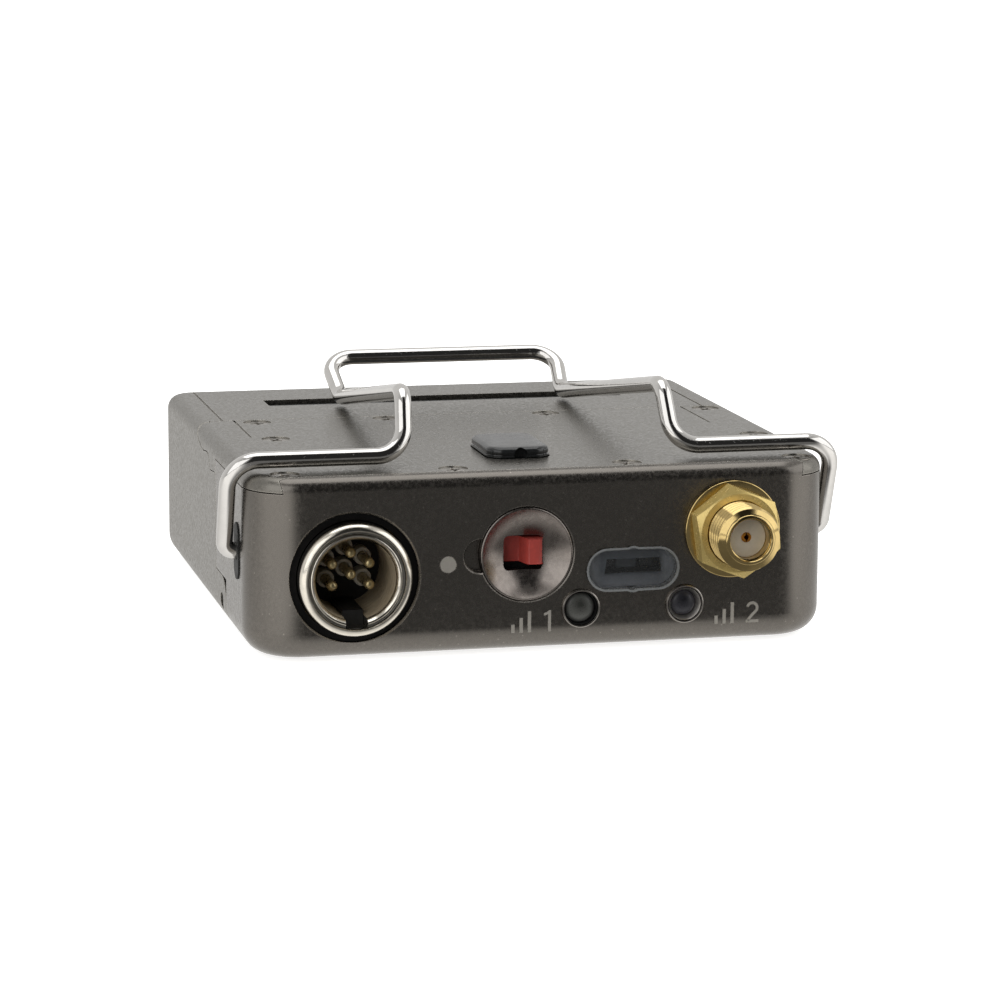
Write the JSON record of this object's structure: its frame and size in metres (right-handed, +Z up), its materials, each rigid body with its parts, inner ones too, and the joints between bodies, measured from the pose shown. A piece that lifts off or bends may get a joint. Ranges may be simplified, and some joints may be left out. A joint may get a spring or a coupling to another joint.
{
  "type": "wireless bodypack transmitter",
  "caption": "Flat metal bodypack transmitter for a lavalier microphone, with mini-XLR input, SMA aerial jack, slide switch, hinged battery door and wire belt clip.",
  "frame": {"origin": "centre of the case's flat bottom face", "axes": "+Z up out of the lid with the belt clip, -Y out of the front panel with the sockets, +X towards the aerial jack"},
  "size_m": [0.0622, 0.0631, 0.0254],
  "materials": {
    "body_metal": "fine satin bead-blast with light sparkle",
    "lid_metal": "fine satin bead-blast",
    "door_metal": "fine satin bead-blast",
    "screw_steel": "satin",
    "strip_steel": "satin",
    "gasket_rubber": "matte",
    "cap_plastic": "satin top, glossy sides",
    "latch_plastic": "fine texture",
    "pin_steel": "ground",
    "tray_plastic": "matte",
    "cell_steel": "nickel plated",
    "cell_sleeve": "glossy shrink sleeve",
    "contact_nickel": "nickel plated",
    "contact_gold": "gold plated",
    "clip_chrome": "polished",
    "bush_plastic": "matte",
    "retainer_steel": "spring steel",
    "xlr_black": "satin",
    "xlr_nickel": "turned, bright nickel",
    "xlr_insulator": "matte",
    "pin_silver": "silver plated",
    "cup_silver": "silver plated, dull",
    "lock_brass": "turned",
    "board_green": "solder mask",
    "bezel_polish": "polished bowl",
    "knob_red": "satin",
    "switch_black": "moulded",
    "dot_paint": "filled paint",
    "window_clear": "polished",
    "surround_grey": "moulded",
    "ir_dark": "dark epoxy",
    "led_rim": "turned",
    "led_lens": "frosted",
    "led_chip": "ceramic",
    "sma_gold": "gold plated",
    "ptfe": "smooth",
    "shield_tin": "tinned",
    "chip_black": "moulded",
    "standoff_brass": "turned",
    "ceramic_white": "fired"
  },
  "bodies": {
    "case": {"main_body": "body_metal", "top_cover": "lid_metal", "cover_screws_front": "screw_steel", "cover_screws_mid": "screw_steel", "cover_screws_rear": "screw_steel", "cover_nut_strip": "strip_steel", "cover_gasket": "gasket_rubber", "antenna_cap": "cap_plastic", "hinge_pin": "pin_steel", "power_pins": "contact_gold", "clip_bush_left": "bush_plastic", "clip_bush_right": "bush_plastic", "xlr_isolator": "xlr_black", "xlr_shell": "xlr_nickel", "xlr_insulator": "xlr_insulator", "xlr_pins": "pin_silver", "xlr_cups": "cup_silver", "xlr_lock_ring": "lock_brass", "xlr_board": "board_green", "switch_bezel": "bezel_polish", "switch_housing": "switch_black", "index_dot": "dot_paint", "ir_window": "window_clear", "ir_surround": "surround_grey", "ir_transceiver": "ir_dark", "led_rims": "led_rim", "led_lenses": "led_lens", "led_emitters": "led_chip", "sma_body": "sma_gold", "sma_washer": "sma_gold", "sma_nut": "sma_gold", "sma_dielectric": "ptfe", "sma_contact": "contact_gold", "sma_pigtail": "sma_gold", "main_board": "board_green", "board_screws": "screw_steel", "main_shield": "shield_tin", "main_chips": "chip_black", "rf_board": "board_green", "rf_standoffs": "standoff_brass", "rf_shield": "shield_tin", "antenna_module": "ceramic_white", "board_link": "chip_black"},
    "door": {"battery_door": "door_metal", "battery_tray": "tray_plastic", "cell_bodies": "cell_steel", "cell_sleeves": "cell_sleeve", "cell_buttons": "cell_steel", "contact_plates": "contact_nickel", "contact_springs": "contact_nickel", "tray_pads": "contact_gold"},
    "latch": {"door_latch": "latch_plastic"},
    "clip": {"belt_clip": "clip_chrome", "clip_retainers": "retainer_steel"},
    "knob": {"switch_knob": "knob_red"}
  },
  "joints": [
    {"name": "clip_pivot", "type": "hinge", "parent": "case", "child": "clip", "pos_m": [0, -0.0204, 0.00956], "axis": [1, 0, 0], "range_deg": [0, 3.5], "stiffness_Nm_per_rad": 0.3, "springref_deg": -2.86},
    {"name": "door_hinge", "type": "hinge", "parent": "case", "child": "door", "pos_m": [0, -0.0108, 0.0026], "axis": [1, 0, 0], "range_deg": [-90, 0]},
    {"name": "latch_slide", "type": "slide", "parent": "door", "child": "latch", "axis": [0, 1, 0], "range_m": [0, 0.0012]},
    {"name": "power_switch", "type": "slide", "parent": "case", "child": "knob", "axis": [-1, 0, 0], "range_m": [0, 0.0018]}
  ]
}
